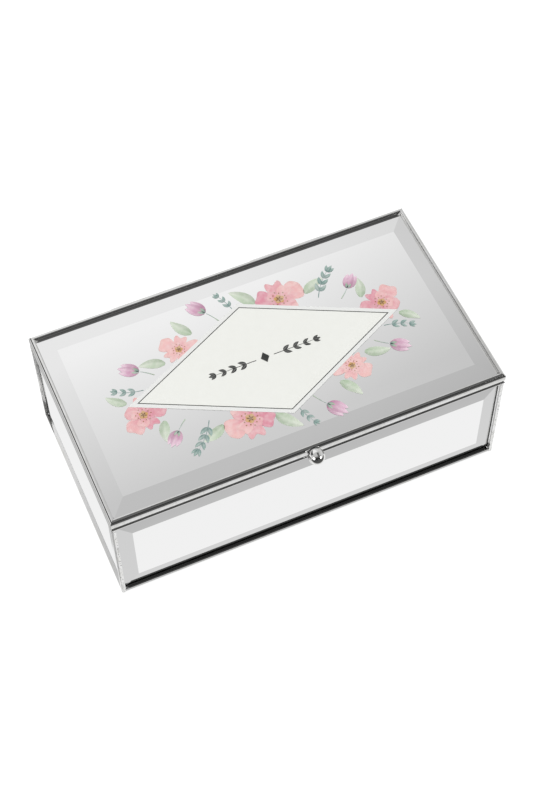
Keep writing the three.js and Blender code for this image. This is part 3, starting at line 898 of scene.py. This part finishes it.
class Sheet:
    """Flat printed marks on one plane, each a hair above the last. Places are in millimetres."""

    def __init__(self, plane_height):
        self.bm = bmesh.new()
        self.pigment = self.bm.verts.layers.float_color.new("pigment")
        self.plane_height = plane_height
        self.restart()

    def restart(self):
        """Marks that stand clear of the ones before start again from the plane."""
        self.level = self.plane_height

    def raise_layer(self):
        self.level += LAYER

    def grid(self, rows):
        """Rows of (x, y, tone) become a patch of quads."""
        made = []
        for row in rows:
            line = []
            for x, y, tone in row:
                vertex = self.bm.verts.new((x * MM, y * MM, self.level))
                vertex[self.pigment] = tone
                line.append(vertex)
            made.append(line)
        for first, second in zip(made, made[1:]):
            for n in range(len(first) - 1):
                self.bm.faces.new((first[n], second[n], second[n + 1], first[n + 1]))

    def blade(self, root, heading, length, width, bend, near, far, shape="leaf"):
        """A leaf, bud petal or stem that curves by the bend, in degrees, over its length."""
        x, y = root
        rows = []
        step = length / BLADE_STEPS
        for n in range(BLADE_STEPS + 1):
            share = n / BLADE_STEPS
            angle = math.radians(heading + bend * share)
            if shape == "stem":
                half = width / 2 * (1 - STEM_TAPER * share)
            elif share < 1:
                swell = math.sin(math.pi * max(share, LEAF_ROOT) ** LEAF_LEAN)
                half = width / 2 * swell ** LEAF_FULLNESS
            else:
                half = LEAF_TIP
            row = []
            for across in BLADE_ACROSS:
                shade = SHADED_HALF if across < 0 else 1.0
                vein = VEIN if shape == "leaf" and across == 0.0 else 0.0
                tone = (near.lerp(far, share) * shade).lerp(Vector(VEIN_TONE), vein)
                row.append((x - math.sin(angle) * half * across,
                            y + math.cos(angle) * half * across, tone))
            rows.append(row)
            x += math.cos(angle) * step
            y += math.sin(angle) * step
        self.grid(rows)
        return x, y

    def petal(self, centre, heading, radius, half_angle, notch, near, far, wave=0.0):
        """A petal in polar form, drawn from the heart outward, with a dent in its tip."""
        rows = []
        for ring in range(PETAL_RINGS + 1):
            share = ring / PETAL_RINGS
            rim = PETAL_RIM if ring == PETAL_RINGS else 1.0
            row = []
            for step in range(PETAL_STEPS + 1):
                turn = 2 * step / PETAL_STEPS - 1
                swell = math.cos(turn * math.pi / 2 * PETAL_SPAN) ** PETAL_FULLNESS
                dent = 1 - notch * math.exp(-(turn * NOTCH_NARROWNESS) ** 2)
                ruffle = 1 + wave * share * math.sin(turn * RUFFLES + heading)
                out = max(share, PETAL_ROOT) * radius * swell * dent * ruffle
                angle = math.radians(heading + half_angle * turn)
                grain = Vector((centre[0] + turn * STREAKS[0], heading * STREAKS[1],
                                share * STREAKS[2]))
                streak = 0.5 + 0.5 * noise.noise(grain)
                blush = min(1, share ** BLUSH_FADE * (BLUSH[0] + BLUSH[1] * streak))
                row.append((centre[0] + out * math.cos(angle), centre[1] + out * math.sin(angle),
                            near.lerp(far, blush) * rim))
            rows.append(row)
        self.grid(rows)

    def dot(self, x, y, radius, tone):
        angles = [math.pi * (2 * step / DOT_STEPS) for step in range(DOT_STEPS + 1)]
        self.grid([[(x + out * math.cos(a), y + out * math.sin(a), tone) for a in angles]
                   for out in (DOT_HOLE * radius, radius)])

    def repeat_half_turn(self):
        """The second half of the print is the first turned half round the lid's middle."""
        drawn = self.bm.verts[:] + self.bm.edges[:] + self.bm.faces[:]
        copied = bmesh.ops.duplicate(self.bm, geom=drawn)["geom"]
        vertices = [part for part in copied if isinstance(part, bmesh.types.BMVert)]
        half_turn = Matrix.Rotation(math.pi, 3, "Z")
        bmesh.ops.rotate(self.bm, cent=(0, 0, 0), matrix=half_turn, verts=vertices)

    def finish(self, name):
        # Marks are wound either way, so every face is turned to look up before it gets its
        # thickness.
        self.bm.normal_update()
        under = [face for face in self.bm.faces if face.normal.z < 0]
        bmesh.ops.reverse_faces(self.bm, faces=under)
        mesh = bpy.data.meshes.new(name)
        self.bm.to_mesh(mesh)
        self.bm.free()
        made = add_piece(name, mesh, INK, "lid", smooth=False)
        thickness = made.modifiers.new("film", "SOLIDIFY")
        thickness.thickness = FILM
        thickness.offset = -1


WHORLS = ((5, 1.0, 40, 0), (4, 0.60, 42, 30))  # petals, share of the radius, half angle, turn
PETAL_SPREAD = 0.17
PETAL_NOTCH = 0.20
PETAL_WAVE = 0.07
HEART_PETALS = 5
HEART_SHARE = 0.2
HEART_HALF_ANGLE = 48
STAMENS = 13
STAMEN_PLACE = (0.26, 0.06)  # shares of the radius: every other stamen stands further out
STAMEN_SIZE = 0.028


def draw_blossom(sheet, centre, radius, turn, near, far):
    for count, size, half_angle, offset in WHORLS:
        for n in range(count):
            sheet.raise_layer()
            spread = 1 + PETAL_SPREAD * math.sin(2.4 * n + turn)
            depth = 0.5 + 0.5 * math.sin(1.7 * n + turn)
            sheet.petal(centre, turn + offset + 360 / count * n, radius * size * spread,
                        half_angle, PETAL_NOTCH, near.lerp(far, 0.5 * depth),
                        far.lerp(PEACH, depth), PETAL_WAVE)
    sheet.raise_layer()
    for n in range(HEART_PETALS):
        sheet.petal(centre, turn + 360 / HEART_PETALS * n, radius * HEART_SHARE,
                    HEART_HALF_ANGLE, 0.0, GOLD_DEEP, GOLD)
    sheet.raise_layer()
    for n in range(STAMENS):
        angle = math.radians(turn + 360 / STAMENS * n)
        out = radius * (STAMEN_PLACE[0] + STAMEN_PLACE[1] * (n % 2))
        sheet.dot(centre[0] + out * math.cos(angle), centre[1] + out * math.sin(angle),
                  radius * STAMEN_SIZE, GOLD_DEEP)


NECK_LENGTH = 0.7  # lengths and widths are shares of the bud's length
NECK_WIDTH = 0.5  # mm
NECK_BEND = 12
BUD_PETALS = ((-24, 0.92), (24, 0.92), (0, 1.0))  # turn and length
BUD_PETAL_WIDTH = 0.42
BUD_CURL = 0.9
SEPAL_TURN = 34
SEPAL_SIZE = (0.34, 0.15)


def draw_bud(sheet, root, heading, length):
    sheet.raise_layer()
    neck = sheet.blade(root, heading - NECK_BEND, length * NECK_LENGTH, NECK_WIDTH, NECK_BEND,
                       SAGE, BLUE_GREEN_PALE, "stem")
    for turn, share in BUD_PETALS:
        sheet.raise_layer()
        sheet.blade(neck, heading + turn, length * share, length * BUD_PETAL_WIDTH,
                    -turn * BUD_CURL, MAUVE, MAUVE_PALE)
    sheet.raise_layer()
    for turn in (-SEPAL_TURN, SEPAL_TURN):
        sheet.blade(neck, heading + turn, length * SEPAL_SIZE[0], length * SEPAL_SIZE[1], -turn,
                    BLUE_GREEN, SAGE)


SPRIG_STEM_WIDTH = 0.45  # mm
SPRIG_BARE_TIP = 0.6  # of the space between two pairs of leaves
SPRIG_LEAF_TURN = 44
SPRIG_LEAF_BEND = 30
SPRIG_LEAF_WIDTH = 0.44
SPRIG_LEAF_TAPER = 0.3
SPRIG_END_LEAF = (0.8, 0.34)


def draw_sprig(sheet, root, heading, length, bend, leaves, near, far, leaf=0.29):
    sheet.raise_layer()
    sheet.blade(root, heading, length, SPRIG_STEM_WIDTH, bend, near, far, "stem")
    for n in range(leaves):
        share = (n + 1) / (leaves + SPRIG_BARE_TIP)
        angle = heading + bend * share / 2
        x = root[0] + length * share * math.cos(math.radians(angle))
        y = root[1] + length * share * math.sin(math.radians(angle))
        size = length * leaf * (1 - SPRIG_LEAF_TAPER * share)
        for side in (-1, 1):
            sheet.raise_layer()
            sheet.blade((x, y), heading + bend * share + side * SPRIG_LEAF_TURN, size,
                        size * SPRIG_LEAF_WIDTH, -side * SPRIG_LEAF_BEND, near, far)
    sheet.raise_layer()
    sheet.blade((x, y), heading + bend, length * leaf * SPRIG_END_LEAF[0],
                length * leaf * SPRIG_END_LEAF[1], 0, near, far)


# Half of the floral print, which is the builder's own design: places in millimetres from the
# lid's middle, and headings in degrees.
LOOSE_LEAVES = (  # x, y, heading, length, bend
    (8, 31, 118, 15, 24), (33, 27, 38, 13, -30), (57, 14, 62, 12, 26),
    (-27, 27, 132, 13, -22), (-45, 16, 152, 13, 28), (70, -2, -28, 11, -30),
)
LOOSE_LEAF_WIDTH = 0.42
SPRIGS = (  # x, y, heading, length, bend, pairs of leaves
    (38, 22, 62, 19, -26, 4), (-3, 31, 100, 14, 22, 3), (-60, 6, 172, 15, -24, 3),
)
BUDS = (  # x, y, heading, length
    (-12, 29, 128, 11.0), (48, 17, 48, 9.5), (-52, 12, 148, 10.5),
)
BLOSSOMS = (  # centre, radius, turn, the tone at the heart and at the rim
    ((20, 29), 13.5, 14, CORAL_DEEP, CORAL), ((65, 7), 11.5, 40, CORAL_DEEP, CORAL),
    ((-36, 21), 10.0, 62, CORAL, PEACH),
)


def make_floral_print():
    leaves = Sheet(GLASS_TOP + LEAF_RISE)
    for x, y, heading, length, bend in LOOSE_LEAVES:
        leaves.raise_layer()
        leaves.blade((x, y), heading, length, length * LOOSE_LEAF_WIDTH, bend, SAGE, SAGE_PALE)
    for x, y, heading, length, bend, pairs in SPRIGS:
        leaves.restart()
        draw_sprig(leaves, (x, y), heading, length, bend, pairs, BLUE_GREEN, BLUE_GREEN_PALE)
    leaves.repeat_half_turn()
    leaves.finish("print_leaves")

    buds = Sheet(GLASS_TOP + BUD_RISE)
    for x, y, heading, length in BUDS:
        buds.restart()
        draw_bud(buds, (x, y), heading, length)
    buds.repeat_half_turn()
    buds.finish("print_buds")

    blossoms = Sheet(GLASS_TOP + BLOSSOM_RISE)
    for blossom in BLOSSOMS:
        blossoms.restart()
        draw_blossom(blossoms, *blossom)
    blossoms.repeat_half_turn()
    blossoms.finish("print_blossoms")


ORNAMENT_START = 4.6  # mm from the label's middle
ORNAMENT_LENGTH = 24
ORNAMENT_PAIRS = 4
ORNAMENT_LEAF = 0.19
RHOMBUS = (2.2, 3.0)  # half its length and width, mm


def make_label_print():
    """The label's thin line, and two sprigs with a rhombus between them."""
    border = Sheet(LABEL_TOP + FILM)
    length, width = BORDER_LENGTH / MM, BORDER_WIDTH / MM
    corners = [(length, 0), (0, width), (-length, 0), (0, -width), (length, 0)]
    inner = 1 - BORDER_LINE / MM / (length * width / math.hypot(length, width))
    border.grid([[(x * share, y * share, CHARCOAL) for x, y in corners] for share in (1, inner)])
    border.finish("print_border")

    ornament = Sheet(LABEL_TOP + FILM)
    draw_sprig(ornament, (ORNAMENT_START, 0), 0, ORNAMENT_LENGTH, 0, ORNAMENT_PAIRS, CHARCOAL,
               CHARCOAL, ORNAMENT_LEAF)
    ornament.repeat_half_turn()
    ornament.raise_layer()
    x, y = RHOMBUS
    ornament.grid([[(-x, 0, CHARCOAL), (0, y, CHARCOAL)], [(0, -y, CHARCOAL), (x, 0, CHARCOAL)]])
    ornament.finish("print_ornament")


# ---- Solder ----

FILLET_STEPS = 8
FILLET_HOLLOW = 1.4  # over 1: rows of the mesh crowd together in the corner
FILLET_EDGE = 0.04  # share of the rise that is left at the outer edge
WOBBLE = 0.10
WOBBLE_SCALE = 900
WOBBLE_STRETCH = (3, 5)  # along the first leg and the second
LID_FILLET = (1.9 * MM, 1.3 * MM)  # leg and rise
WALL_FILLET = (1.7 * MM, 0.4 * MM)
WALL_FILLET_INSET = 0.15 * MM


def fillet(name, corner, first_leg, second_leg, rise, body):
    """A concave wedge of solder between two legs, highest in its corner."""
    bm = bmesh.new()

    def place(u, v, share):
        spot = corner + first_leg * u * WOBBLE_STRETCH[0] + second_leg * v * WOBBLE_STRETCH[1]
        wobble = 1 + WOBBLE * noise.noise(spot * WOBBLE_SCALE)
        return corner + first_leg * u * wobble + second_leg * v * wobble + rise * share

    tops = {}
    feet = {}
    for n in range(FILLET_STEPS + 1):
        for m in range(FILLET_STEPS + 1 - n):
            u, v = (n / FILLET_STEPS) ** FILLET_HOLLOW, (m / FILLET_STEPS) ** FILLET_HOLLOW
            height = max(FILLET_EDGE, (1 - min(1, u + v)) ** 2)
            tops[n, m] = bm.verts.new(place(u, v, height))
            feet[n, m] = bm.verts.new(place(u, v, 0))
    for n in range(FILLET_STEPS):
        for m in range(FILLET_STEPS - n):
            for layer in (tops, feet):
                bm.faces.new((layer[n, m], layer[n + 1, m], layer[n, m + 1]))
                if n + m < FILLET_STEPS - 1:
                    bm.faces.new((layer[n + 1, m], layer[n + 1, m + 1], layer[n, m + 1]))
    edge = [(n, 0) for n in range(FILLET_STEPS)]
    edge += [(FILLET_STEPS - n, n) for n in range(FILLET_STEPS)]
    edge += [(0, FILLET_STEPS - n) for n in range(FILLET_STEPS)]
    for here, after in zip(edge, edge[1:] + edge[:1]):
        bm.faces.new((tops[here], tops[after], feet[after], feet[here]))
    bmesh.ops.recalc_face_normals(bm, faces=bm.faces)
    mesh = bpy.data.meshes.new(name)
    bm.to_mesh(mesh)
    bm.free()
    add_piece(name, mesh, SOLDER, body)


def make_solder():
    """Fillets in the lid's inner corners, and where posts meet the rails on each wall."""
    lip = CROWN_OUTER + CROWN_INNER
    ledge = high("lid_rail_front").z - LIP_REACH
    leg, rise = LID_FILLET
    for x_sign, x_name in ((-1, "left"), (1, "right")):
        for y_sign, y_name in ((-1, "front"), (1, "back")):
            corner = Vector((x_sign * (HALF_WIDTH - lip), y_sign * (HALF_DEPTH - lip), ledge))
            fillet(f"solder_lid_{y_name}_{x_name}", corner, Vector((-x_sign * leg, 0, 0)),
                   Vector((0, -y_sign * leg, 0)), Vector((0, 0, rise)), "lid")
    leg, rise = WALL_FILLET
    for side in SIDES:
        half, outer, turn = SIDE_PLACES[side]
        spin = Matrix.Rotation(turn, 3, "Z")
        for hand, sign in (("left", -1), ("right", 1)):
            for level, height, upward in (("bottom", high(f"bottom_rail_{side}").z, 1),
                                          ("top", low(f"top_rail_{side}").z, -1)):
                corner = Vector((sign * (half - POST_FLANGE),
                                 SHEET_METAL - outer + WALL_FILLET_INSET, height))
                fillet(f"solder_{side}_{hand}_{level}", spin @ corner,
                       spin @ Vector((-sign * leg, 0, 0)), Vector((0, 0, upward * leg)),
                       spin @ Vector((0, -rise, 0)), "base")


# ---- Assembly ----

make_camera()
make_studio()
finish_cad()
make_rails()
make_lining()
make_knob()
make_floral_print()
make_label_print()
make_solder()
